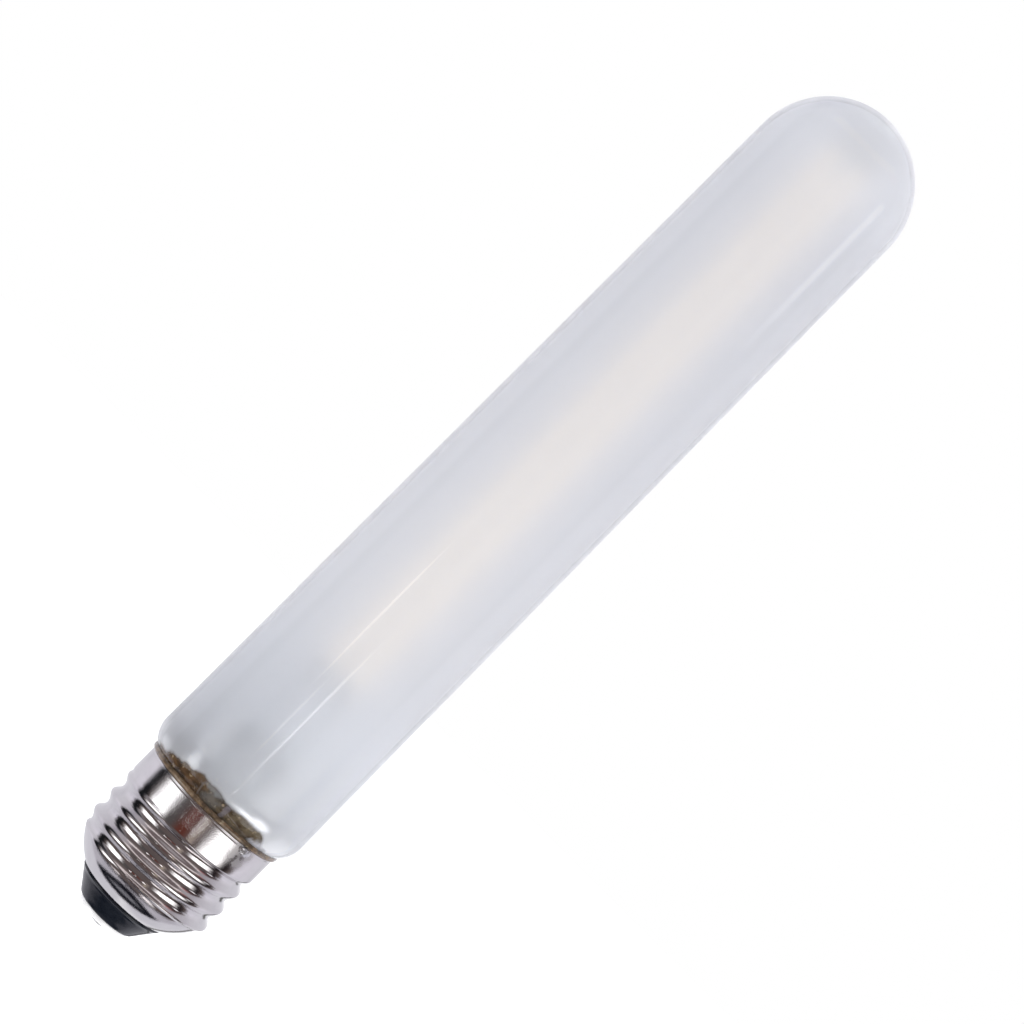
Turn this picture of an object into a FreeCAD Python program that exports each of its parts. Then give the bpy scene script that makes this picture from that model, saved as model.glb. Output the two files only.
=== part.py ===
import FreeCAD, Part
import math
import os

# Frosted tubular filament lamp with a medium Edison screw cap.
# Millimetres. Z is the lamp axis: the flat of the contact solder is at z = 0, the dome is at the top.
# The near side is -Y, so +X lies to the right of someone who faces the lamp.

# Glass tube
tube_diameter = 30.0
overall_length = 184.0
glass_wall = 0.8
neck_gap = 0.55
neck_insertion = 7.85
neck_corner_drop = 0.77
shoulder_radius = 5.0
shoulder_angle = 50.0
shoulder_chords = 3
dome_chords = 8
hollow_dome_chords = 2

# Screw shell, rolled from thin sheet
cap_height = 25.75
shell_wall = 0.25
skirt_diameter = 26.1
skirt_height = 3.85
thread_stand = 0.05
thread_depth = 0.9
thread_pitch = 3.629
thread_lead_in = 0.7
thread_run_out = 1.8
sections_per_turn = 4
cone_step = 0.25
cone_height = 4.35
cone_crown = 0.35
mouth_diameter = 16.6

# Insulator and centre contact
insulator_nose_height = 3.95
insulator_nose_diameter = 11.2
insulator_plug_height = 1.2
contact_diameter = 9.5
contact_proud = 0.95
wire_hole_diameter = 1.6
solder_height = 0.95
solder_diameter = 4.8
solder_flat_diameter = 2.6

# Cement that holds the glass in the shell, and its bead above the rim
bead_stand_off = 0.6
bead_height = 0.7
bead_flank = 0.45

# Glass stem
stem_diameter = 10.8
flare_height = 15.6
press_taper_height = 4.5
press_height = 5.0
press_thickness = 3.8
exhaust_diameter = 3.8
exhaust_bore = 2.2
exhaust_tip_gap = 0.5
blow_hole_diameter = 1.6
blow_hole_rise = 1.6
rod_diameter = 2.6

# Light source
filament_count = 4
filament_circle = 7.2
filament_width = 1.8
filament_thickness = 1.3
filament_chamfer = 0.35
tab_length = 4.5
tab_width = 1.2
tab_sheet = 0.3
bridge_sheet = 0.4
bridge_width = 1.6
lead_reach = 6.6
dome_clearance = 4.8

# Driver board in the cap
board_size = (12.0, 14.0, 1.0)
board_headroom = 1.9
part_offset = 4.3
rectifier_size = (4.8, 3.8, 1.4)
rectifier_leg_pitch = 2.6
rectifier_legs = 2
chip_size = (4.9, 3.8, 1.5)
chip_leg_pitch = 1.27
chip_legs = 4
leg_size = (0.5, 0.9, 0.3)
capacitor_size = (7.2, 4.2)
resistor_diameter = 2.6
part_clearance = 0.75

# Wires
lead_diameter = 0.5
side_wire_diameter = 0.3
side_wire_foot = 8.2
side_wire_overhang = 0.25
weld_azimuth = -48.8
weld_diameter = 2.2
weld_height = 0.5
weld_drop = 0.75

# Diameters that follow from the skirt
thread_mean_diameter = skirt_diameter + 2 * thread_stand - thread_depth
thread_bore_diameter = thread_mean_diameter - thread_depth - 2 * shell_wall
cone_top_diameter = thread_mean_diameter - thread_depth + 2 * cone_step
neck_diameter = thread_bore_diameter - 2 * neck_gap

# Heights from the contact upwards
axis = FreeCAD.Vector(0, 0, 1)
centre = FreeCAD.Vector(0, 0, 0)
rim_z = cap_height
insulator_end_z = solder_height + contact_proud
mouth_z = insulator_end_z + insulator_nose_height
thread_bottom_z = mouth_z + cone_height
thread_top_z = rim_z - skirt_height
neck_end_z = rim_z - neck_insertion
board_top_z = neck_end_z - glass_wall - board_headroom
board_bottom_z = board_top_z - board_size[2]
part_foot_z = mouth_z + insulator_plug_height + part_clearance
flare_top_z = neck_end_z + flare_height
press_z = flare_top_z + press_taper_height
press_top_z = press_z + press_height
lower_bridge_z = press_top_z + lead_reach
filament_z = lower_bridge_z + bridge_sheet + tab_length
dome_z = overall_length - tube_diameter / 2
spider_z = overall_length - glass_wall - dome_clearance - bridge_sheet
filament_top_z = spider_z - tab_length
filament_offset = filament_circle / 2 * math.cos(math.pi / filament_count)


def outline(points):
    """A closed wire through (r, z) points in the XZ plane."""
    places = [FreeCAD.Vector(r, 0, z) for r, z in points + points[:1]]
    return Part.makePolygon(places)


def turned(points):
    """A solid of revolution about the lamp axis from the corners of its outline."""
    return Part.Face(outline(points)).revolve(centre, axis, 360)


def arc_points(place, radius, first, last, chords):
    """Corners of short chords along an arc, by angles in degrees from +r towards +z."""
    angles = [math.radians(first + (last - first) * step / chords) for step in range(chords + 1)]
    return [(place[0] + radius * math.cos(a), place[1] + radius * math.sin(a)) for a in angles]


def bent_wire(points, diameter):
    """A wire along straight runs through (r, z) points in the XZ plane. Eight flats keep it light."""
    places = [FreeCAD.Vector(r, 0, z) for r, z in points]
    across = (places[1] - places[0]).normalize().cross(FreeCAD.Vector(0, 1, 0))
    corners = []
    for side in range(9):
        angle = math.pi / 8 * (2 * side + 1)
        reach = diameter / 2 / math.cos(math.pi / 8)
        corners.append(places[0] + across * (reach * math.cos(angle))
                       + FreeCAD.Vector(0, reach * math.sin(angle), 0))
    return Part.makePolygon(places).makePipeShell([Part.makePolygon(corners)], True, True, 1)


def block(size, x, y, z):
    """A box centred on x and y that stands on z."""
    corner = FreeCAD.Vector(x - size[0] / 2, y - size[1] / 2, z)
    return Part.makeBox(size[0], size[1], size[2], corner)


def cylinder(diameter, low, high):
    """A cylinder on the lamp axis."""
    return Part.makeCylinder(diameter / 2, high - low, FreeCAD.Vector(0, 0, low))


def around(shape, degrees):
    """A copy of a shape turned about the lamp axis."""
    copy = shape.copy()
    copy.rotate(centre, axis, degrees)
    return copy


# Glass envelope: one blown tube, drawn in to a neck that stands in the cap and closed by a round dome
def glass_form(inset):
    """The envelope's outer form, or its hollow when inset by the wall. Round parts are short chords."""
    angle = math.radians(shoulder_angle)
    tube_r = tube_diameter / 2 - inset
    neck_r = neck_diameter / 2 - inset
    corner_z = rim_z - neck_corner_drop
    curve_r = tube_diameter / 2 - shoulder_radius
    curve_start_r = curve_r + shoulder_radius * math.cos(angle)
    curve_start_z = corner_z + (curve_start_r - neck_diameter / 2) / math.tan(angle)
    curve_place = (curve_r, curve_start_z + shoulder_radius * math.sin(angle))
    points = [(0, neck_end_z), (neck_r, neck_end_z), (neck_r, corner_z + inset * math.tan(angle / 2))]
    chords = 1 if inset else shoulder_chords
    points += arc_points(curve_place, shoulder_radius - inset, -shoulder_angle, 0, chords)
    chords = hollow_dome_chords if inset else dome_chords
    return turned(points + arc_points((0, dome_z), tube_r, 0, 90, chords))


# Screw shell: a cone, a rolled round thread that runs out at both ends, and a plain skirt
def thread_section(height):
    """A level cut through the round thread is a circle whose centre walks round a small helix."""
    middle_z = (thread_bottom_z + thread_top_z) / 2
    to_end = min(height - thread_bottom_z, thread_top_z - height)
    fade = math.sin(math.pi / 2 * min(1, to_end / thread_run_out)) ** 2
    end_diameter = cone_top_diameter if height < middle_z else skirt_diameter
    diameter = end_diameter + (thread_mean_diameter - end_diameter) * fade
    angle = 2 * math.pi * (height - thread_bottom_z - thread_lead_in) / thread_pitch
    walk = thread_depth / 2 * fade
    place = FreeCAD.Vector(walk * math.cos(angle), walk * math.sin(angle), height)
    return Part.Wire([Part.Circle(place, axis, diameter / 2).toShape()])


def shell_cone(inset, crown, top_r):
    """The cone from the mouth of the shell to the foot of its thread."""
    mouth_r = mouth_diameter / 2 - inset
    slant = math.hypot(top_r - mouth_r, cone_height)
    middle = ((mouth_r + top_r) / 2 + crown * cone_height / slant,
              (mouth_z + thread_bottom_z) / 2 - crown * (top_r - mouth_r) / slant)
    skin = [(mouth_r, mouth_z), middle, (top_r, thread_bottom_z)] if crown else [
        (mouth_r, mouth_z), (top_r, thread_bottom_z)]
    return turned([(0, mouth_z)] + skin + [(0, thread_bottom_z)])


def make_shell():
    """Thin sheet at the cone, the thread roots and the skirt. The bore behind the thread is left plain."""
    levels = round((thread_top_z - thread_bottom_z) / thread_pitch * sections_per_turn)
    rise = (thread_top_z - thread_bottom_z) / levels
    sections = [thread_section(thread_bottom_z + rise * level) for level in range(levels + 1)]
    thread = Part.makeLoft(sections, True, True)
    skirt = cylinder(skirt_diameter, thread_top_z, rim_z)
    bore = cylinder(thread_bore_diameter, thread_bottom_z, thread_top_z)
    skirt_bore = cylinder(skirt_diameter - 2 * shell_wall, thread_top_z, rim_z)
    solid = shell_cone(0, cone_crown, cone_top_diameter / 2).fuse([thread, skirt])
    hollow = shell_cone(shell_wall, 0, thread_bore_diameter / 2).fuse([bore, skirt_bore])
    return solid.cut(hollow).removeSplitter()


# Insulator: a nose of black glass that carries the contact, with a spigot up in the mouth of the shell
def make_insulator():
    nose_r = insulator_nose_diameter / 2
    throat_r = mouth_diameter / 2
    spigot_r = throat_r - shell_wall
    hole_r = wire_hole_diameter / 2
    return turned([
        (hole_r, insulator_end_z),
        (nose_r, insulator_end_z),
        (throat_r, mouth_z),
        (spigot_r, mouth_z),
        (spigot_r, mouth_z + insulator_plug_height),
        (hole_r, mouth_z + insulator_plug_height),
    ])


# Centre contact: a disc with a hole for the wire, closed by a flattened drop of solder
def make_centre_contact():
    return cylinder(contact_diameter, solder_height, insulator_end_z).cut(
        cylinder(wire_hole_diameter, solder_height, insulator_end_z))


def make_contact_solder():
    return turned([(0, 0), (solder_flat_diameter / 2, 0),
                   (solder_diameter / 2, solder_height), (0, solder_height)])


# Cement: fills the gap between neck and skirt, and stands out above the rim as a bead
def make_cement(others):
    skirt_r = skirt_diameter / 2
    bead_r = skirt_r + bead_stand_off
    bead_top_z = rim_z + bead_height
    return turned([
        (0, thread_top_z),
        (skirt_r - shell_wall, thread_top_z),
        (skirt_r - shell_wall, rim_z),
        (bead_r, rim_z),
        (bead_r, rim_z + bead_flank),
        (skirt_r, bead_top_z),
        (0, bead_top_z),
    ]).cut(others)


# Stem: a flanged tube fused to the end of the neck and pinched flat round the lead wires
def make_stem(leads):
    stem_r = stem_diameter / 2
    under_z = neck_end_z - glass_wall
    chamber_top_z = flare_top_z - glass_wall
    tube = cylinder(neck_diameter, under_z, neck_end_z).fuse(cylinder(stem_diameter, under_z, press_top_z))
    pinch = [(stem_r, flare_top_z), (press_thickness / 2, press_z),
             (press_thickness / 2, press_top_z), (stem_r, press_top_z)]
    wedge = Part.Face(outline(pinch)).extrude(FreeCAD.Vector(0, stem_diameter, 0))
    wedge.translate(FreeCAD.Vector(0, -stem_r, 0))
    hole_z = press_z + blow_hole_rise
    blow_hole = Part.makeCylinder(blow_hole_diameter / 2, press_thickness, FreeCAD.Vector(0, 0, hole_z),
                                  FreeCAD.Vector(0, 1, 0))
    hollows = [
        cylinder(stem_diameter - 2 * glass_wall, under_z, chamber_top_z),
        cylinder(exhaust_bore, chamber_top_z, hole_z),
        blow_hole,
        around(wedge, 90),
        around(wedge, -90),
    ]
    return tube.cut(hollows + leads).removeSplitter()


def make_exhaust_tube():
    """The pumping tube, melted shut at its lower tip."""
    tip_z = board_top_z + exhaust_tip_gap
    top_z = flare_top_z - glass_wall
    bore = cylinder(exhaust_bore, tip_z + glass_wall, top_z)
    return cylinder(exhaust_diameter, tip_z, top_z).cut(bore)


# Light source: filaments between two lower bridges and one spider, held by a tab at each end
def make_filament():
    half_w = filament_width / 2
    half_t = filament_thickness / 2
    cut_w = half_w - filament_chamfer
    cut_t = half_t - filament_chamfer
    corners = [(cut_t, -half_w), (half_t, -cut_w), (half_t, cut_w), (cut_t, half_w),
               (-cut_t, half_w), (-half_t, cut_w), (-half_t, -cut_w), (-cut_t, -half_w)]
    places = [FreeCAD.Vector(filament_circle / 2 + x, y, filament_z) for x, y in corners + corners[:1]]
    return Part.Face(Part.makePolygon(places)).extrude(axis * (filament_top_z - filament_z))


def make_spider():
    """Flat arms that cross on the end of the support rod."""
    arm = block((filament_circle + bridge_width, bridge_width, bridge_sheet), 0, 0, spider_z)
    step = 360 / filament_count
    arms = [around(arm, step * (number + 0.5)) for number in range(filament_count // 2)]
    return arms[0].fuse(arms[1:]).removeSplitter()


def make_lower_bridge(side):
    length = 2 * filament_offset + bridge_width
    return block((bridge_width, length, bridge_sheet), side * filament_offset, 0, lower_bridge_z)


def make_lead(side):
    """From the board up the stem, through the press and on to a lower bridge."""
    x = side * filament_offset
    return bent_wire([(x, board_top_z), (x, lower_bridge_z)], lead_diameter)


# Driver board: a small plate that hangs from the lead wires, with parts soldered to both faces
def chip_package(size, legs, leg_pitch, y):
    """A moulded package on the board, with a row of legs along each side."""
    body = block(size, 0, y, board_top_z)
    pins = []
    for side in (-1, 1):
        for number in range(legs):
            x = (number - (legs - 1) / 2) * leg_pitch
            pins.append(block(leg_size, x, y + side * size[1] / 2, board_top_z))
    return body.fuse(pins).removeSplitter()


def make_side_wire():
    """From the board, up between neck and shell and over the rim to the weld."""
    track_r = (neck_diameter + thread_bore_diameter) / 4
    wire_r = side_wire_diameter / 2
    return around(bent_wire([
        (side_wire_foot, board_top_z + wire_r),
        (track_r, board_top_z + wire_r),
        (track_r, thread_top_z),
        (skirt_diameter / 2 - shell_wall - wire_r, rim_z + wire_r),
        (skirt_diameter / 2 + side_wire_overhang, rim_z + wire_r),
    ], side_wire_diameter), weld_azimuth)


def make_side_weld(side_wire):
    """A low drop of metal on the skirt, just under the rim, where the side wire ends."""
    drop = Part.makeCylinder(weld_diameter / 2, skirt_diameter / 2 + weld_height,
                             FreeCAD.Vector(0, 0, rim_z - weld_drop), FreeCAD.Vector(1, 0, 0))
    inside = cylinder(skirt_diameter, rim_z - weld_drop - weld_diameter, rim_z - weld_drop + weld_diameter)
    return around(drop.cut(inside), weld_azimuth).cut(side_wire)


def build():
    outer_glass = glass_form(0)
    side_wire = make_side_wire().cut(outer_glass)
    side_weld = make_side_weld(side_wire)
    leads = [make_lead(1), make_lead(-1)]
    part_height = board_bottom_z - part_foot_z
    nodes = {
        "screw_shell": make_shell(),
        "insulator": make_insulator(),
        "centre_contact": make_centre_contact(),
        "contact_solder": make_contact_solder(),
        "cap_cement": make_cement([outer_glass, side_wire, side_weld]),
        "side_wire": side_wire,
        "side_weld": side_weld,
        "glass_envelope": outer_glass.cut(glass_form(glass_wall)),
        "stem_press": make_stem(leads),
        "exhaust_tube": make_exhaust_tube(),
        "support_rod": cylinder(rod_diameter, press_top_z, spider_z),
        "top_spider": make_spider(),
        "driver_board": block(board_size, 0, 0, board_bottom_z),
        "bridge_rectifier": chip_package(rectifier_size, rectifier_legs, rectifier_leg_pitch, part_offset),
        "driver_chip": chip_package(chip_size, chip_legs, chip_leg_pitch, -part_offset),
        "film_capacitor": block(capacitor_size + (part_height,), 0, part_offset, part_foot_z),
        "fusible_resistor": cylinder(resistor_diameter, part_foot_z, board_bottom_z),
        "centre_wire": bent_wire([(0, solder_height), (0, part_foot_z)], lead_diameter),
    }
    for number, (lead, side) in enumerate(zip(leads, (1, -1)), start=1):
        nodes["lead_wire_%d" % number] = lead
        nodes["lower_bridge_%d" % number] = make_lower_bridge(side)
    tab_size = (tab_sheet, tab_width, tab_length)
    low_tab = block(tab_size, filament_circle / 2, 0, filament_z - tab_length)
    high_tab = block(tab_size, filament_circle / 2, 0, filament_top_z)
    for number in range(1, filament_count + 1):
        azimuth = 360 / filament_count * (number - 0.5)
        nodes["led_filament_%d" % number] = around(make_filament(), azimuth)
        nodes["lower_tab_%d" % number] = around(low_tab, azimuth)
        nodes["upper_tab_%d" % number] = around(high_tab, azimuth)
    return nodes


os.makedirs("parts", exist_ok=True)
for name, shape in build().items():
    if not shape.isValid() or len(shape.Solids) != 1:
        raise ValueError("%s is not one valid solid" % name)
    shape.Solids[0].exportStep("parts/%s.step" % name)
    print("%-20s %10.2f mm3" % (name, shape.Volume))
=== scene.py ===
import math

import bmesh
import bpy
import numpy as np
from mathutils import Matrix, Vector, noise


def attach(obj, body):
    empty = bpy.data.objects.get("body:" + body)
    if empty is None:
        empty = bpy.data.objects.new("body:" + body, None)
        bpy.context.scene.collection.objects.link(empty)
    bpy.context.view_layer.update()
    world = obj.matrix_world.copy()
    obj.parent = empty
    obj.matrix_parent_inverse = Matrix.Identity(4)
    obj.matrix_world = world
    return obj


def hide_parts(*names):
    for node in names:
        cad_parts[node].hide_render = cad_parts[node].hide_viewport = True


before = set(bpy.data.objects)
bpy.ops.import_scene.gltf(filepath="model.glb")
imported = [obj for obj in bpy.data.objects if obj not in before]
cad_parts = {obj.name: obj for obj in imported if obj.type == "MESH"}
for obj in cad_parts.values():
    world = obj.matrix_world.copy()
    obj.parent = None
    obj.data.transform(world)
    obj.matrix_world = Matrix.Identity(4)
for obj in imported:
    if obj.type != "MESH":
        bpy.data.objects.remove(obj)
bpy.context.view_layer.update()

# Looks of the frosted tubular filament lamp. The pieces made here stand for its outer solids, and
# the inner solids get their materials. Lengths are millimetres, as in the part's source, and become
# metres where a mesh or a shader takes them.

MM = 0.001
TURN = 2 * math.pi
DEGREES = 180 / math.pi


# ---------------------------------------------------------------- meshes

def placed(name, data):
    """An object of the scene for a mesh or a camera."""
    made = bpy.data.objects.new(name, data)
    bpy.context.scene.collection.objects.link(made)
    return made


def piece(name, mesh, stands_for):
    """A piece of the lamp, which takes the place of a CAD node."""
    mesh.shade_smooth()
    made = placed(name, mesh)
    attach(made, "root")
    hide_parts(stands_for)
    return made


def sheet(name, rows, stands_for, tips=(None, None), closed=False, marks=None):
    """A piece from rings of points.

    The last ring joins the first, or each end closes on the axis at the height that tips gives.
    marks has the number of the material between each ring and the next.
    """
    rows = np.asarray(rows, float)
    count, around = rows.shape[:2]
    marks = marks or [0] * count
    points = [tuple(p) for p in rows.reshape(-1, 3) * MM]
    faces, kinds = [], []
    for i in range(count if closed else count - 1):
        a, b = i * around, (i + 1) % count * around
        for j in range(around):
            k = (j + 1) % around
            faces.append((a + j, a + k, b + k, b + j))
            kinds.append(marks[i])
    for tip, ring, mark in zip(tips, (0, count - 1), (marks[0], marks[-1])):
        if tip is None:
            continue
        points.append((0.0, 0.0, tip * MM))
        for j in range(around):
            k = (j + 1) % around
            faces.append((len(points) - 1, ring * around + j, ring * around + k))
            kinds.append(mark)
    mesh = bpy.data.meshes.new(name)
    mesh.from_pydata(points, [], faces)
    for face, kind in zip(mesh.polygons, kinds):
        face.material_index = kind
    outward = bmesh.new()
    outward.from_mesh(mesh)
    bmesh.ops.recalc_face_normals(outward, faces=outward.faces)
    outward.to_mesh(mesh)
    outward.free()
    return piece(name, mesh, stands_for)


def turned(profile, around, radius=None):
    """Rings of a turned form, from (radius, height) pairs. radius(angles, r, z) may change it."""
    angles = np.arange(around) * TURN / around
    rows = []
    for r, z in profile:
        reach = np.full(around, float(r)) if radius is None else radius(angles, r, z)
        x, y = reach * np.cos(angles), reach * np.sin(angles)
        rows.append(np.stack([x, y, np.full(around, z)], -1))
    return rows


def line(start, end, steps):
    """Points along a straight run of a profile."""
    return [tuple(p) for p in np.linspace(start, end, steps)]


def arc(centre, r, start, end, steps):
    """Points of an arc in a profile, from one angle to another in degrees."""
    return [
        (centre[0] + r * math.cos(math.radians(a)), centre[1] + r * math.sin(math.radians(a)))
        for a in np.linspace(start, end, steps)
    ]


def crowned(start, end, crown, steps):
    """Points of a shallow arc between two points of a profile, which bulges outwards by crown."""
    half = math.hypot(end[0] - start[0], end[1] - start[1]) / 2
    r = (half ** 2 + crown ** 2) / (2 * crown)
    slope = math.atan2(end[1] - start[1], end[0] - start[0])
    centre = (
        (end[0] + start[0]) / 2 - (r - crown) * math.sin(slope),
        (end[1] + start[1]) / 2 + (r - crown) * math.cos(slope),
    )
    spread = math.degrees(math.asin(half / r))
    across = math.degrees(slope) - 90
    return arc(centre, r, across - spread, across + spread, steps)


def clamped(value):
    return min(1.0, max(0.0, value))


# ---------------------------------------------------------------- the screw shell

CONE_FOOT, CONE_TOP = (8.3, 5.85), (12.45, 10.2)
CONE_CROWN = 0.35
SKIRT_RADIUS = 13.05
THREAD_BOTTOM, THREAD_TOP = CONE_TOP[1], 21.9
PITCH = 3.629  # seven turns to the inch
CORE_RADIUS = 12.65  # of the circle at each level of the thread
WALK = 0.45  # of that circle's centre round the axis
FIRST_CREST = 0.7  # above the bottom of the thread, at +X
LEAN, DRAWN_IN = 0.15, 0.045  # of the crests to one side, and of the flanks towards the axis
RUN_IN, RUN_OUT, RUN_OUT_END = 0.6, 1.3, 21.3
CREST_PROUD, PROUD_UP_TO = 0.07, 20.7  # of the skirt
ON_THREAD = 0  # stands in the profile for the thread's own radius


def thread(angles, height):
    """Radius of the rolled thread at a height: a circle whose centre walks round the axis."""
    to_end = min((height - THREAD_BOTTOM) / RUN_IN, (RUN_OUT_END - height) / RUN_OUT)
    fade = math.sin(math.pi / 2 * clamped(to_end)) ** 2
    end = CONE_TOP[0] if height < (THREAD_BOTTOM + THREAD_TOP) / 2 else SKIRT_RADIUS
    size = end + (CORE_RADIUS - end) * fade
    walk = WALK * fade
    turn = angles - TURN * (height - THREAD_BOTTOM - FIRST_CREST) / PITCH
    turn = turn - LEAN * (1 - np.cos(turn))
    flank = DRAWN_IN * fade * (np.cos(2 * turn) - 1)
    radius = walk * np.cos(turn) + np.sqrt(size ** 2 - (walk * np.sin(turn)) ** 2) + flank
    return np.minimum(radius, SKIRT_RADIUS + CREST_PROUD * clamped(PROUD_UP_TO - height))


def shell_radius(angles, r, z):
    return thread(angles, z) if r == ON_THREAD else np.full(len(angles), float(r))


outside = crowned(CONE_FOOT, CONE_TOP, CONE_CROWN, 26)[:-1]
outside += [(ON_THREAD, z) for z in np.linspace(THREAD_BOTTOM, THREAD_TOP, 110)]
outside += line((SKIRT_RADIUS, 22.0), (SKIRT_RADIUS, 25.2), 24)
# A shallow groove and a rolled edge make the rim
outside += [(13.04, 25.26), (13.01, 25.32), (13.0, 25.38), (13.02, 25.44), (13.06, 25.49)]
outside += arc((12.96, 25.61), 0.14, -30, 90, 8)
inside = arc((12.94, 25.63), 0.12, 95, 180, 5)
inside += [(12.8, 25.3), (12.8, 22.15), (12.7, 22.0), (11.95, 21.75), (11.95, 10.35)]
inside += line((11.85, 10.2), (8.12, 6.3), 8) + [(8.05, 6.1), (8.1, 5.92), (8.2, 5.86)]
shell = sheet(
    "screw_shell_rolled", turned(outside + inside, 224, shell_radius),
    "screw_shell", closed=True,
)


# ---------------------------------------------------------------- insulator, contact and solder

CONTACT_HOLE = 0.8

under = [(CONTACT_HOLE, 1.9), (2.6, 1.9), (4.4, 1.9)] + arc((5.05, 2.6), 0.7, -90, -38, 8)
flank = [(5.95, 2.6), (6.25, 3.0), (6.7, 3.6), (7.2, 4.22), (7.72, 4.9), (8.1, 5.42)]
flank += arc((7.95, 5.62), 0.3, -25, 50, 5)
spigot = [(8.02, 5.88), (8.0, 6.0), (8.0, 6.95), (7.9, 7.05), (CONTACT_HOLE, 7.05)]
insulator = sheet(
    "insulator_glass", turned(under + flank + spigot, 128), "insulator", closed=True
)

plate = [(CONTACT_HOLE, 1.88), (4.5, 1.9)]
plate += arc((4.55, 1.7), 0.2, 80, 0, 5) + arc((4.45, 1.25), 0.3, 0, -90, 7)
plate += [(3.6, 0.94), (2.6, 0.97), (CONTACT_HOLE, 0.97)]
contact = sheet(
    "centre_contact_plate", turned(plate, 96), "centre_contact", closed=True
)


def uneven(amount, scale, seed):
    """Changes a radius a little round the axis and up it, as a melted or pressed mass has it."""
    def changed(angles, r, z):
        return np.array([
            r + amount * min(1.0, r) * noise.noise(
                (math.cos(a) * r * scale, math.sin(a) * r * scale, z * scale + seed)
            )
            for a in angles
        ])
    return changed


drop = [(0.5, 0.0), (1.0, 0.0), (1.3, 0.03), (1.62, 0.12), (1.92, 0.28), (2.15, 0.48)]
drop += [(2.3, 0.7), (2.36, 0.86), (2.38, 0.945), (1.5, 0.95)]
solder = sheet(
    "contact_solder_drop", turned(drop, 64, uneven(0.16, 0.9, 3.0)), "contact_solder",
    tips=(0.0, 0.95),
)


# ---------------------------------------------------------------- cement and glass

# The bead over the rim from its outer foot, over its top, down the neck and back up the skirt
bead = [(12.9, 25.77), (13.1, 25.77), (13.3, 25.82), (13.42, 25.93), (13.46, 26.08), (13.46, 26.26)]
bead += [(13.42, 26.42), (13.36, 26.58), (13.28, 26.62), (13.16, 26.47), (12.9, 26.22)]
bead += [(12.6, 25.97), (12.1, 25.55), (11.66, 25.17), (11.44, 24.95)]
bead += line((11.43, 24.4), (11.43, 21.95), 6)
bead += [(12.76, 21.95), (12.76, 23.5), (12.76, 25.2), (12.8, 25.75)]
cement = sheet(
    "cap_cement_bead", turned(bead, 192, uneven(0.05, 0.8, 8.0)), "cap_cement",
    closed=True,
)

LENGTH = 184.0
TUBE_RADIUS, NECK_RADIUS, NECK_END = 15.0, 11.4, 17.9
WALL = 0.8
SHOULDER_RADIUS, SHOULDER_HEIGHT = 5.0, 30.33
# How the face between neck and shoulder, and its corner on the neck, move for each millimetre
# deeper in the glass
FACE_IN, FACE_UP, CORNER_UP = 0.643, 0.766, 0.466


def glass_face(d):
    """Profile of the glass from the neck's end to the top of the dome, d inside its outer face."""
    neck, tube = NECK_RADIUS - d, TUBE_RADIUS - d
    corner = 24.98 + CORNER_UP * d
    return [
        *line((neck, NECK_END), (neck, corner - 0.3), 12),
        (neck + 0.02, corner - 0.1),
        (neck + 0.1, corner + 0.05),
        *line((neck + 0.25, corner + 0.21), (13.17 - FACE_IN * d, 26.46 + FACE_UP * d), 9),
        *arc((TUBE_RADIUS - SHOULDER_RADIUS, SHOULDER_HEIGHT), SHOULDER_RADIUS - d, -49, 0, 26),
        *line((tube, 30.9), (tube, 168.4), 96),
        *arc((0.0, LENGTH - TUBE_RADIUS), tube, 0, 88.5, 48),
    ]


outer, inner = glass_face(0.0), glass_face(WALL)
lip = arc((NECK_RADIUS - WALL / 2, NECK_END), WALL / 2, 180, 360, 7)[1:-1]
glass = sheet(
    "glass_envelope_frosted", turned(inner[::-1] + lip + outer, 144),
    "glass_envelope",
    tips=(LENGTH - WALL, LENGTH),
    marks=[1] * (len(inner) - 1) + [0] * (len(lip) + len(outer)),
)


# ---------------------------------------------------------------- the side weld

WELD_ANGLE = math.radians(-48.8)
WELD_RADIUS, WELD_HEIGHT = 13.0, 25.02
WELD_OUT, WELD_ACROSS, WELD_UP = 0.52, 1.3, 0.74  # half sizes

ball = bmesh.new()
bmesh.ops.create_icosphere(ball, subdivisions=5, radius=1.0)
outward = Vector((math.cos(WELD_ANGLE), math.sin(WELD_ANGLE), 0))
sideways = Vector((-math.sin(WELD_ANGLE), math.cos(WELD_ANGLE), 0))
for v in ball.verts:
    a, b, c = v.co
    lump = 1 + 0.22 * noise.noise(Vector((a * 1.6, b * 1.6, c * 1.6 + 5.0)))
    lump += 0.08 * noise.noise(Vector((a * 4.0, b * 4.0, c * 4.0 + 1.0)))
    place = outward * (WELD_RADIUS + WELD_OUT * a * lump) + sideways * (WELD_ACROSS * b * lump)
    v.co = (place + Vector((0, 0, WELD_HEIGHT + WELD_UP * c * lump))) * MM
weld_mesh = bpy.data.meshes.new("side_weld_drop")
ball.to_mesh(weld_mesh)
ball.free()
weld = piece("side_weld_drop", weld_mesh, "side_weld")


# ---------------------------------------------------------------- shader helpers

# They take sockets and plain numbers, and work in the node tree of the sockets that they are given

def fill(socket, value):
    """Links a socket to the one that feeds it, or sets its own value."""
    if isinstance(value, bpy.types.NodeSocket):
        socket.id_data.links.new(value, socket)
    else:
        socket.default_value = value


def set_on(shader, **values):
    for key, value in values.items():
        fill(shader.inputs[key.replace("_", " ")], value)


def node(tree, kind, settings=None, **sockets):
    """A shader node with its settings, and its sockets filled by name, or by number as i0 or i1."""
    made = tree.nodes.new("ShaderNode" + kind)
    for key, value in (settings or {}).items():
        setattr(made, key, value)
    for key, value in sockets.items():
        fill(made.inputs[int(key[1:]) if key[1:].isdigit() else key.replace("_", " ")], value)
    return made


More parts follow.
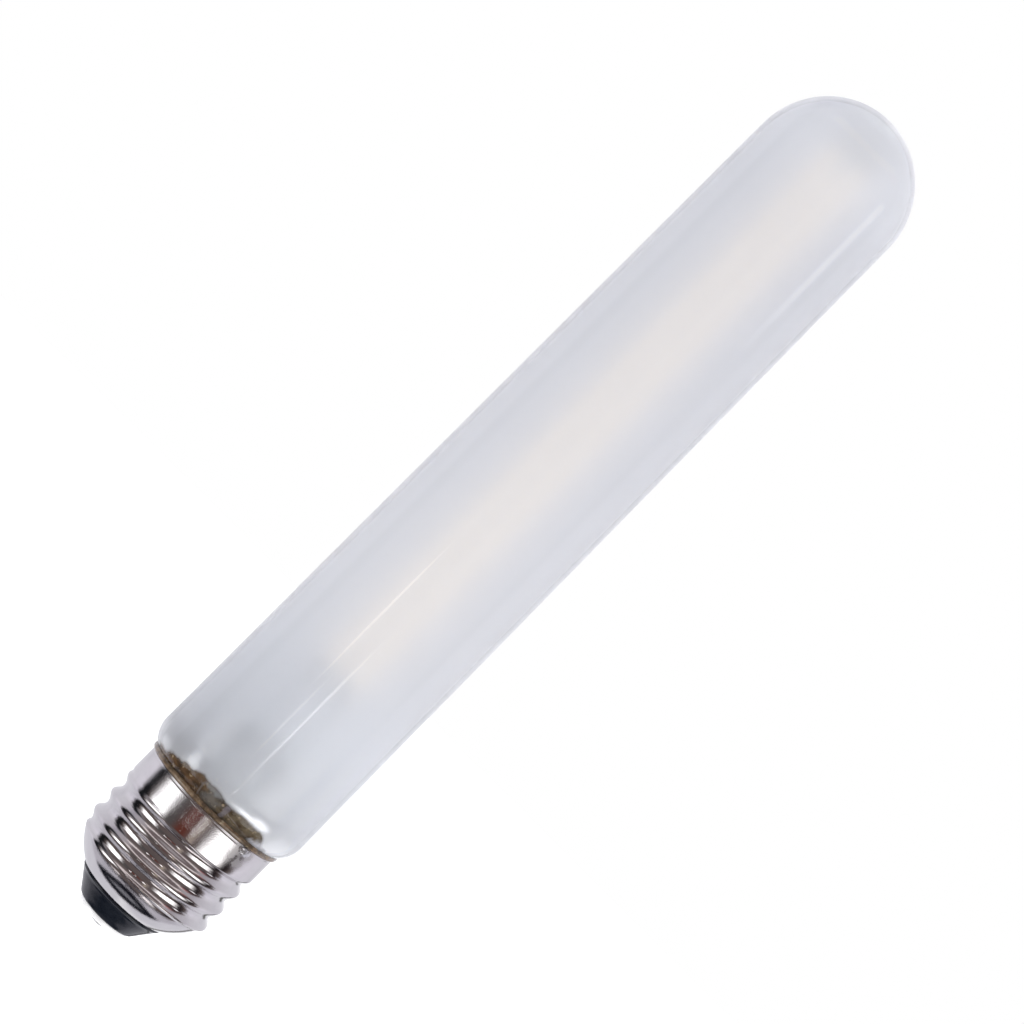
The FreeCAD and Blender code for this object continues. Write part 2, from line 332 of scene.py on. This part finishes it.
def math_of(operation, *terms, clamp=False):
    """The result of a Math node. One of the terms at least is a socket."""
    tree = next(term.id_data for term in terms if isinstance(term, bpy.types.NodeSocket))
    made = node(tree, "Math", {"operation": operation, "use_clamp": clamp})
    for socket, term in zip(made.inputs, terms):
        fill(socket, term)
    return made.outputs[0]


def add(a, b):
    return math_of("ADD", a, b)


def minus(a, b):
    return math_of("SUBTRACT", a, b)


def times(a, b, clamp=False):
    return math_of("MULTIPLY", a, b, clamp=clamp)


def over(a, b):
    return math_of("DIVIDE", a, b)


def ramp_between(value, low, high, to_low=0.0, to_high=1.0, kind="SMOOTHSTEP"):
    """Takes a value from one range to another, and holds it there beyond its ends."""
    return node(
        value.id_data, "MapRange", {"interpolation_type": kind},
        Value=value, From_Min=low, From_Max=high, To_Min=to_low, To_Max=to_high,
    ).outputs[0]


def noise_of(place, scale, detail=2.0, rough=0.5):
    """A cloudy pattern from 0 to 1, with its scale per metre."""
    return node(
        place.id_data, "TexNoise", None, Vector=place, Scale=scale, Detail=detail, Roughness=rough
    ).outputs[0]


def bumped(height, distance):
    """A normal bumped by a height, with the distance in millimetres."""
    return node(
        height.id_data, "Bump", None, Strength=1.0, Distance=distance * MM, Height=height
    ).outputs[0]


def axes_of(place):
    """The x, y and z sockets of a place."""
    return node(place.id_data, "SeparateXYZ", None, Vector=place).outputs


def far_from(place, x, y, z):
    """Distance of a place, in metres, from a point in millimetres."""
    point = (x * MM, y * MM, z * MM)
    return node(
        place.id_data, "VectorMath", {"operation": "DISTANCE"}, i0=place, i1=point
    ).outputs["Value"]


def turn_of(x, y):
    """Degrees round the lamp's axis from the near side, where -Y is, towards +X."""
    return times(math_of("ARCTAN2", x, times(y, -1.0)), DEGREES)


def rgb(r, g, b):
    return (r, g, b, 1.0)


def blend_of(share, a, b):
    """The colour a where the share is 0, and b where it is 1."""
    return node(share.id_data, "Mix", {"data_type": "RGBA"}, i0=share, i6=a, i7=b).outputs[2]


def shader_of(tree, kind, **sockets):
    return node(tree, kind, None, **sockets).outputs[0]


def mix_of(share, a, b):
    """The shader a where the share is 0, and b where it is 1."""
    return node(a.id_data, "MixShader", None, i0=share, i1=a, i2=b).outputs[0]


def sum_of(a, b):
    return node(a.id_data, "AddShader", None, i0=a, i1=b).outputs[0]


def started(name):
    """A new material, its main shader and the place on the object that its patterns take."""
    made = bpy.data.materials.new(name)
    made.use_nodes = True
    tree = made.node_tree
    return made, tree.nodes["Principled BSDF"], node(tree, "TexCoord").outputs["Object"]


def finished(made, surface):
    """The material with another surface than its main shader."""
    fill(made.node_tree.nodes["Material Output"].inputs["Surface"], surface)
    return made


# ---------------------------------------------------------------- metal, insulator and cement

def metal(name, pale, dull, low, high, grain=900.0, depth=0.004, metallic=1.0):
    """A metal with cloudy wear, its roughness from low to high, and a fine grain in its surface."""
    made, shader, place = started(name)
    cloud = noise_of(place, 260.0, 4.0)
    set_on(
        shader,
        Metallic=metallic,
        Base_Color=blend_of(ramp_between(cloud, 0.35, 0.75), pale, dull),
        Roughness=ramp_between(cloud, 0.3, 0.8, low, high),
        Normal=bumped(noise_of(place, grain, 3.0), depth),
    )
    return made


def feeding(shader, name):
    """The socket that feeds one of a shader's sockets."""
    return shader.inputs[name].links[0].from_socket


nickel = metal(
    "nickel_plate", rgb(0.66, 0.645, 0.655), rgb(0.6, 0.585, 0.6), 0.04, 0.1, 4600.0, 0.016
)
tinned = metal(
    "contact_metal", rgb(0.97, 0.965, 0.96), rgb(0.92, 0.915, 0.9), 0.45, 0.6, metallic=0.3
)
tin = metal("solder_tin", rgb(0.72, 0.72, 0.74), rgb(0.5, 0.5, 0.52), 0.12, 0.35, 1600.0, 0.02)
wire = metal("nickel_wire", rgb(0.66, 0.63, 0.6), rgb(0.5, 0.46, 0.42), 0.2, 0.4)

# The skirt is a little duller than the thread, and smeared by the flux below the weld
plating = nickel.node_tree.nodes["Principled BSDF"]
place = node(nickel.node_tree, "TexCoord").outputs["Object"]
on_skirt = ramp_between(axes_of(place)[2], 21.2 * MM, 22.6 * MM)
smear = times(
    ramp_between(far_from(place, 8.8, -9.6, 24.2), 3.2 * MM, 1.2 * MM),
    ramp_between(noise_of(place, 700.0), 0.2, 0.8),
)
fill(feeding(plating, "Normal").node.inputs["Strength"], add(times(on_skirt, 0.5), 0.5))
set_on(
    plating,
    Base_Color=blend_of(times(smear, 0.5), feeding(plating, "Base Color"), rgb(0.52, 0.5, 0.49)),
    Roughness=add(feeding(plating, "Roughness"), add(times(on_skirt, 0.07), times(smear, 0.38))),
)

black_glass, shader, place = started("black_insulator_glass")
mottle = noise_of(place, 420.0, 4.0)
set_on(
    shader,
    Base_Color=blend_of(mottle, rgb(0.003, 0.004, 0.006), rgb(0.008, 0.01, 0.015)),
    Roughness=ramp_between(mottle, 0.3, 0.75, 0.06, 0.2),
    Normal=bumped(noise_of(place, 700.0), 0.01),
    IOR=1.4,
)

cement_mix, shader, place = started("cap_cement_resin")
patches = noise_of(place, 420.0, 5.0, 0.65)
grit = ramp_between(noise_of(place, 1500.0, 3.0), 0.55, 0.8)
brown = blend_of(ramp_between(patches, 0.38, 0.6), rgb(0.05, 0.032, 0.018), rgb(0.15, 0.095, 0.052))
set_on(
    shader,
    Base_Color=blend_of(grit, brown, rgb(0.25, 0.2, 0.13)),
    Roughness=ramp_between(patches, 0.3, 0.7, 0.1, 0.3),
    Coat_Weight=0.6,
    Normal=bumped(patches, 0.2),
)


# ---------------------------------------------------------------- the frosted glass

GLASS_IOR = 1.4
COAT_ROUGHNESS = 0.68
COAT_SHARE = 0.46  # of the light that the coat scatters where it is even
COAT_EVEN_FROM = 34.5  # the height above which neither the edge nor its lobes reach
# Colour of the painted glow that the coat gives off
PAINTED_GLOW_COOL = rgb(0.96, 0.97, 1.0)

# The coat's lower edge round the lamp: degrees from the near side towards +X, and height
COAT_EDGE = (
    (-180, 28.6), (-110, 27.9), (-75, 27.6), (-56, 27.8), (-46, 28.4), (-38, 28.8),
    (-26, 28.9), (-16, 29.5), (-4, 29.6), (8, 29.1), (20, 29.2), (35, 29.1),
    (41, 28.5), (47, 27.6), (62, 26.7), (90, 26.4), (130, 28.0), (180, 28.6),
)
EDGE_LOWEST, EDGE_REACH = 26.0, 4.0

# Lobes along the edge, in which the coat ran thick, and which give off a painted glow
THICK_LOBES_WITH_PAINTED_GLOW = (
    # degrees, height, half width in degrees, half height, strength
    (-76, 28.8, 9, 1.9, 0.6),
    (-60, 28.4, 9, 0.7, 0.5),
    (-28, 30.1, 4, 1.4, 0.6),
    (21, 29.6, 9, 0.4, 0.85),
    (31, 29.9, 7, 0.6, 0.95),
    (58, 28.4, 14, 1.6, 0.35),
)

# Paler veils and runs in the cement's stain below the edge, each over those before it. The two
# narrow runs at -13 and 9 degrees are painted reflections of the narrow light strips
VEILS_AND_PAINTED_REFLECTIONS = (
    # degrees, height, half width in degrees, half height, strength, colour
    (-3, 27.9, 7, 1.2, 0.5, (0.17, 0.17, 0.165)),
    (-5, 29.2, 9, 0.6, 0.6, (0.28, 0.28, 0.28)),
    (-13, 27.5, 0.9, 1.6, 0.4, (0.22, 0.2, 0.19)),
    (9, 27.6, 1.7, 1.7, 0.5, (0.22, 0.2, 0.235)),
    (48, 27.1, 10, 0.9, 0.95, (0.5, 0.5, 0.54)),
)


def edge_of(about):
    """The height of the coat's edge at an angle, from a ramp of greys through COAT_EDGE."""
    ramp = node(
        about.id_data, "ValToRGB", None, Fac=ramp_between(about, -180, 180, kind="LINEAR")
    )
    stops = ramp.color_ramp.elements
    while len(stops) < len(COAT_EDGE):
        stops.new(0.5)
    for stop, (turn, height) in zip(stops, COAT_EDGE):
        stop.position = (turn + 180) / 360
    for stop, (turn, height) in zip(stops, COAT_EDGE):
        grey = (height - EDGE_LOWEST) / EDGE_REACH
        stop.color = rgb(grey, grey, grey)
    return math_of("MULTIPLY_ADD", ramp.outputs[0], EDGE_REACH * MM, EDGE_LOWEST * MM)


def scattered(tree, colour, through):
    """Light that a white coat throws back, and the share of it that goes through."""
    return mix_of(
        through,
        shader_of(tree, "BsdfDiffuse", Color=colour),
        shader_of(tree, "BsdfTranslucent", Color=colour),
    )


def glass_inside():
    """The inner face of the glass: frosted above a wavy edge, and stained by cement below it."""
    made, shader, place = started("glass_inner_face")
    tree = made.node_tree
    x, y, up = axes_of(place)
    about = turn_of(x, y)
    cloud = noise_of(place, 45.0, 3.0)

    def from_patch(turn, height, wide, high):
        """Distance from the middle of a patch, as a share of its half sizes."""
        u = over(minus(about, turn), wide)
        v = over(minus(up, height * MM), high * MM)
        return math_of("SQRT", add(times(u, u), times(v, v)))

    # The coat, with its ragged edge and its lobes
    on_circle = node(tree, "CombineXYZ", None, X=x, Y=y, Z=0.0).outputs[0]
    ragged = times(minus(noise_of(on_circle, 300.0, 3.0), 0.5), 1.6 * MM)
    coated = ramp_between(add(minus(up, edge_of(about)), ragged), -0.5 * MM, 0.3 * MM)
    # Where the coat ran thick it scatters more, and it gives off a painted glow further down
    thick_with_painted_glow = 0.0
    for *patch, strength in THICK_LOBES_WITH_PAINTED_GLOW:
        lobe = ramp_between(from_patch(*patch), 1.8, 0.1, 0.0, strength)
        thick_with_painted_glow = math_of("MAXIMUM", thick_with_painted_glow, lobe)
    tint = blend_of(cloud, rgb(0.886, 0.9, 0.938), rgb(0.901, 0.915, 0.948))
    set_on(
        shader,
        Base_Color=tint,
        Roughness=times(coated, COAT_ROUGHNESS),
        Transmission_Weight=1.0,
        IOR=GLASS_IOR,
    )
    white = blend_of(cloud, rgb(0.954, 0.962, 0.991), rgb(0.964, 0.972, 0.991))
    # Painted shade: the coat's white is darker low on the left side of the neck
    low_on_left = ramp_between(up, COAT_EVEN_FROM * MM, 29 * MM)
    painted_shade_left_foot = times(low_on_left, ramp_between(about, -10, -45))
    milk_with_painted_shade = blend_of(painted_shade_left_foot, white, rgb(0.78, 0.785, 0.81))
    low_down = times(ramp_between(up, 60 * MM, 32 * MM), 0.2)
    covered = times(coated, add(add(times(thick_with_painted_glow, 0.4), low_down), COAT_SHARE), clamp=True)
    milky = scattered(tree, milk_with_painted_shade, minus(0.5, times(thick_with_painted_glow, 0.38)))
    neck = mix_of(covered, shader.outputs[0], milky)

    # The stain: blotches and grains of brown, redder on the left, under the veils and the painted
    # reflections of the light strips
    redder, paler = rgb(0.11, 0.06, 0.028), rgb(0.115, 0.088, 0.055)
    brown = blend_of(ramp_between(about, -25, 10), redder, paler)
    blotches = ramp_between(noise_of(place, 480.0, 5.0, 0.62), 0.36, 0.62)
    brown = blend_of(blotches, rgb(0.035, 0.02, 0.01), brown)
    grains = ramp_between(noise_of(place, 1300.0), 0.6, 0.72)
    brown = blend_of(grains, brown, rgb(0.34, 0.25, 0.15))
    torn = ramp_between(noise_of(place, 900.0, 3.0), 0.3, 0.7, -0.35, 0.35)
    for *patch, strength, colour in VEILS_AND_PAINTED_REFLECTIONS:
        pale_patch = ramp_between(add(from_patch(*patch), torn), 1.6, 0.3, 0.0, strength)
        brown = blend_of(pale_patch, brown, rgb(*colour))
    stained = times(minus(1.0, coated), ramp_between(about, -66, -46, 0.62, 0.95))
    neck = mix_of(stained, neck, shader_of(tree, "BsdfDiffuse", Color=brown))

    # Painted light round the neck: the coat's lobes and its lower right give off a cool painted
    # glow, and the stain a brown painted glow, strongest low on the neck
    painted_light_right_foot = times(ramp_between(up, 62 * MM, 42 * MM), ramp_between(about, -20, 10, 0.0, 0.06))
    painted_glow_of_coat = times(coated, add(times(thick_with_painted_glow, 0.3), painted_light_right_foot))
    painted_glow_of_stain = times(stained, ramp_between(up, 28.5 * MM, 26.2 * MM, 0.1, 0.4))
    neck = sum_of(neck, sum_of(
        shader_of(tree, "Emission", Color=PAINTED_GLOW_COOL, Strength=painted_glow_of_coat),
        shader_of(tree, "Emission", Color=brown, Strength=painted_glow_of_stain),
    ))

    # Further up the coat is even, and is worked out by itself, which keeps the render short. It
    # gives off the same painted light low on the right, and a warm painted glow in the dome,
    # stronger on the right
    frosting = node(tree, "BsdfPrincipled")
    set_on(
        frosting, Base_Color=tint, Roughness=COAT_ROUGHNESS, Transmission_Weight=1.0, IOR=GLASS_IOR
    )
    even = mix_of(add(low_down, COAT_SHARE), frosting.outputs[0], scattered(tree, white, 0.5))
    painted_glow_in_dome = times(ramp_between(up, 160 * MM, 177 * MM), ramp_between(about, -90, 0, 0.03, 0.075))
    even = sum_of(even, sum_of(
        shader_of(tree, "Emission", Color=PAINTED_GLOW_COOL, Strength=painted_light_right_foot),
        shader_of(tree, "Emission", Color=rgb(1.0, 0.96, 0.9), Strength=painted_glow_in_dome),
    ))
    return finished(made, mix_of(math_of("LESS_THAN", up, COAT_EVEN_FROM * MM), even, neck))


# The outer face is clear, and wavy where the shoulder was drawn in to the neck
clear, shader, place = started("glass_outer_face")
ripple = noise_of(place, 60.0)
drawn = times(noise_of(place, 330.0, 1.0), ramp_between(axes_of(place)[2], 32 * MM, 28 * MM))
set_on(
    shader,
    Base_Color=rgb(0.99, 0.995, 1.0),
    Roughness=ramp_between(ripple, 0.2, 0.8, 0.01, 0.05),
    Transmission_Weight=1.0,
    IOR=GLASS_IOR,
    Normal=bumped(add(ripple, times(drawn, 7.0)), 0.04),
)
frost = glass_inside()


# ---------------------------------------------------------------- what is inside the lamp

stem_glass, shader, place = started("stem_glass")
ripple = noise_of(place, 240.0)
set_on(
    shader,
    Base_Color=rgb(0.95, 0.975, 0.97),
    Roughness=ramp_between(ripple, 0.2, 0.8, 0.02, 0.08),
    Transmission_Weight=1.0,
    IOR=1.5,
    Normal=bumped(ripple, 0.1),
)

CHIP_PITCH = 2.1

# The phosphor gives off a painted glow though the lamp is unlit, so that the filaments show as a
# warm streak through the frosting
phosphor_painted_glow, shader, place = started("filament_phosphor")
wave = math_of("SINE", times(axes_of(place)[2], TURN / (CHIP_PITCH * MM)))
chips = ramp_between(wave, -0.6, 0.9)
speck = noise_of(place, 2200.0, 3.0)
set_on(
    shader,
    Base_Color=blend_of(chips, rgb(0.96, 0.84, 0.62), rgb(0.98, 0.89, 0.7)),
    Roughness=ramp_between(speck, 0.3, 0.7, 0.4, 0.6),
    Normal=bumped(speck, 0.03),
    Emission_Color=rgb(1.0, 0.85, 0.76),
    Emission_Strength=0.57,
)


def moulded(name, base, worn, scale=500.0, low=0.35, high=0.6):
    """A cast or moulded mass with a cloudy colour and roughness, and a fine skin."""
    made, shader, place = started(name)
    cloud = noise_of(place, scale, 4.0)
    set_on(
        shader,
        Base_Color=blend_of(cloud, base, worn),
        Roughness=ramp_between(cloud, 0.3, 0.7, low, high),
        Normal=bumped(noise_of(place, scale * 3), 0.02),
    )
    return made


board = moulded("board_laminate", rgb(0.05, 0.19, 0.08), rgb(0.1, 0.3, 0.14))
resin = moulded("black_resin", rgb(0.012, 0.012, 0.014), rgb(0.04, 0.04, 0.045))
capacitor = moulded("capacitor_skin", rgb(0.1, 0.012, 0.01), rgb(0.2, 0.03, 0.02), 400.0, 0.15, 0.3)
resistor = moulded("resistor_skin", rgb(0.24, 0.4, 0.5), rgb(0.34, 0.5, 0.58), 600.0, 0.2, 0.4)


# ---------------------------------------------------------------- which piece is made of what

for made, finishes in (
    (shell, [nickel]), (insulator, [black_glass]), (contact, [tinned]), (solder, [tin]),
    (weld, [tin]), (cement, [cement_mix]), (glass, [clear, frost]),
):
    for finish in finishes:
        made.data.materials.append(finish)

# The solids that stay: those named here, the filaments, and wires, strips and tabs
FINISHES = {
    "stem_press": stem_glass, "exhaust_tube": stem_glass, "support_rod": stem_glass,
    "driver_board": board, "bridge_rectifier": resin, "driver_chip": resin,
    "film_capacitor": capacitor, "fusible_resistor": resistor,
}
for name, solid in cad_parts.items():
    finish = FINISHES.get(name, phosphor_painted_glow if name.startswith("led_filament") else wire)
    for slot in solid.material_slots:
        slot.material = finish


# ---------------------------------------------------------------- floor

floor_mesh = bpy.data.meshes.new("floor")
ground = bmesh.new()
bmesh.ops.create_circle(ground, cap_ends=True, segments=96, radius=4000 * MM)
ground.to_mesh(floor_mesh)
ground.free()
floor = placed("floor", floor_mesh)
floor.location = (0, 0, -0.05 * MM)
floor.visible_glossy = False

# The table shines most on the right, close to the lamp, and is see-through from below
pale, shader, place = started("pale_floor")
set_on(
    shader,
    Base_Color=rgb(0.12, 0.12, 0.12),
    Roughness=0.9,
    Emission_Color=rgb(1.0, 1.0, 1.0),
    Emission_Strength=ramp_between(far_from(place, 70, -50, 0), 170 * MM, 10 * MM, 1.04, 2.2),
)
from_below = node(pale.node_tree, "NewGeometry").outputs["Backfacing"]
see_through = shader_of(pale.node_tree, "BsdfTransparent")
floor_mesh.materials.append(finished(pale, mix_of(from_below, shader.outputs[0], see_through)))


# ---------------------------------------------------------------- the studio

# The studio as the lamp's shiny parts see it: pale walls, with softboxes, black flags and strips

WALLS = (
    # place on the way from straight below to straight above, colour
    (0.14, (0.7, 0.68, 0.78)),
    (0.42, (0.96, 0.93, 1.02)),
    (0.58, (0.86, 0.84, 0.9)),
    (0.75, (0.62, 0.59, 0.64)),
    (0.86, (0.4, 0.36, 0.37)),
)
CARDS = (
    # degrees round from the near side towards +X and up, half width, half height, soft sides,
    # soft top and foot, colour. Each lies over those before it.
    (-130, 52, 22, 9, 10, 6, (0.4, 0.38, 0.46)),
    (150, -36, 5, 24, 3, 6, (0.12, 0.12, 0.11)),
    (0, -45, 96, 40, 6, 4, (0.15, 0.12, 0.115)),
    (0, 22, 84, 28, 26, 5, (0.16, 0.13, 0.125)),
    (0, 44, 60, 6, 6, 4, (0.32, 0.27, 0.26)),
    (0, 55, 80, 4.5, 6, 2, (1.0, 0.9, 0.88)),
    (0, 67, 90, 5, 8, 2.5, (0.2, 0.16, 0.16)),
    (-90, 36, 15, 9, 6, 6, (0.07, 0.07, 0.08)),
    (78, 32, 16, 18, 6, 6, (0.1, 0.07, 0.07)),
    (76, 50, 10, 4, 6, 4, (0.42, 0.17, 0.17)),
    (-88, -14, 9, 50, 6, 4, (0.012, 0.013, 0.015)),
    (80, -21, 7, 35, 5, 4, (0.03, 0.022, 0.024)),
    (-54, -26, 14, 20, 10, 1.5, (2.8, 2.8, 2.8)),
    (50, -26, 16.5, 20.5, 12, 1.5, (2.8, 2.77, 2.75)),
    (-58, -69, 20, 4, 5, 3, (1.3, 1.2, 1.2)),
    (56, -69, 26, 5, 5, 3, (1.9, 1.8, 1.8)),
    (-18, -10, 16, 20, 8, 5, (0.11, 0.1, 0.098)),
    (-6, -7, 11, 9, 9, 6, (0.15, 0.047, 0.033)),
    (12, 14, 3, 26, 3, 4, (0.5, 0.43, 0.35)),
    (15, -16, 3, 10, 3, 4, (0.4, 0.33, 0.29)),
    # narrow strips, whose reflections are the fine lines on the glass
    (9, -3.7, 1.1, 2.6, 0.9, 1.5, (7.0, 7.0, 7.0)),
    (-7, -4, 0.7, 1.2, 0.8, 1.0, (6.0, 6.0, 6.0)),
    (-17, 0.5, 0.9, 2.5, 0.9, 1.5, (7.0, 7.0, 7.0)),
    (75, 20, 4.5, 3.0, 3.0, 2.0, (2.6, 2.6, 2.65)),
)
# What lies straight below, as the cone of the shell shows it: a dark bow with a paler core
BOWS = (
    # bend, place, half height, half width, soft edge, colour
    (0.9, 0.0, 0.26, 0.95, 0.2, (0.62, 0.6, 0.66)),
    (0.9, -0.235, 0.045, 0.74, 0.4, (0.04, 0.035, 0.04)),
    (1.4, 0.045, 0.2, 0.54, 0.12, (0.01, 0.01, 0.016)),
    (1.4, 0.05, 0.05, 0.28, 0.4, (0.26, 0.26, 0.29)),
)


def within(value, centre, half, soft):
    """1 within half of the centre and 0 beyond, with an edge soft on both sides."""
    off = math_of("ABSOLUTE", minus(value, centre))
    return ramp_between(off, half + soft, half - soft)


def studio_of(tree, x, y, z):
    """The colour of the studio in a direction."""
    azimuth = turn_of(x, y)
    lift = times(math_of("ARCSINE", z), DEGREES)
    # The panels lean outwards towards their feet
    leaning = over(azimuth, ramp_between(lift, -12, -62, 1.0, 1.3))

    walls = node(tree, "ValToRGB", None, Fac=ramp_between(lift, -90, 90, kind="LINEAR"))
    stops = walls.color_ramp.elements
    for number, (at, colour) in enumerate(WALLS):
        stop = stops[number] if number < 2 else stops.new(at)
        stop.position, stop.color = at, rgb(*colour)
    behind = math_of("ABSOLUTE", azimuth)
    studio = blend_of(ramp_between(behind, 100, 150), walls.outputs[0], rgb(0.82, 0.81, 0.87))
    farthest = blend_of(ramp_between(x, -0.05, 0.05), rgb(0.8, 0.8, 0.845), rgb(1.06, 1.06, 1.09))
    studio = blend_of(ramp_between(behind, 152, 174), studio, farthest)

    for turn, up, wide, high, sides, ends, colour in CARDS:
        here = times(within(leaning, turn, wide, sides), within(lift, up, high, ends))
        studio = blend_of(here, studio, rgb(*colour))

    # x and y on a plane below the lamp
    down = math_of("MAXIMUM", times(z, -1.0), 0.05)
    across, along = over(x, down), over(y, down)
    squared = times(across, across)
    for bend, up, high, wide, soft, colour in BOWS:
        off = minus(minus(along, times(squared, bend)), up)
        off = math_of("POWER", over(math_of("ABSOLUTE", off), high), 2.0)
        out = math_of("SQRT", add(off, over(squared, wide * wide)))
        studio = blend_of(ramp_between(out, 1 + soft, 1 - soft), studio, rgb(*colour))
    return studio


# Mirror reflections show the studio, all other light comes from an even room, cooler on the left
# and brighter on the right, and the camera sees white
world = bpy.data.worlds.new("studio")
bpy.context.scene.world = world
world.use_nodes = True
tree = world.node_tree
x, y, z = axes_of(node(tree, "TexCoord").outputs["Generated"])
room = blend_of(ramp_between(x, -0.7, 0.9), rgb(0.71, 0.742, 0.825), rgb(1.06, 1.092, 1.2))
room_light = tree.nodes["Background"]
set_on(room_light, Color=room)
studio_light = shader_of(tree, "Background", Color=studio_of(tree, x, y, z))
ray = node(tree, "LightPath").outputs
mirrored = times(ray["Is Glossy Ray"], minus(1.0, ray["Is Transmission Ray"]))
lit_by = mix_of(mirrored, room_light.outputs[0], studio_light)
white = shader_of(tree, "Background", Color=rgb(1.0, 1.0, 1.0))
seen = mix_of(ray["Is Camera Ray"], lit_by, white)
fill(tree.nodes["World Output"].inputs["Surface"], seen)


# ---------------------------------------------------------------- the camera

# Its lens, place and direction were fitted to the photograph
CAMERA_PLACE = (1.1, -270.5, 63.1)

camera_data = bpy.data.cameras.new("camera")
camera_data.lens = 58.36
camera_data.sensor_width = 36.0
camera_data.clip_start = 10 * MM
camera = placed("camera", camera_data)
ahead = Vector((0.0, 0.99414, 0.10817)).normalized()
right = Vector((0.71059, -0.07611, 0.69948))
right = (right - ahead * right.dot(ahead)).normalized()
upward = right.cross(ahead)
turned_by = Matrix((right, upward, -ahead)).transposed().to_4x4()
camera.matrix_world = Matrix.Translation(Vector(CAMERA_PLACE) * MM) @ turned_by
bpy.context.scene.camera = camera
bpy.context.scene.view_settings.view_transform = "Standard"
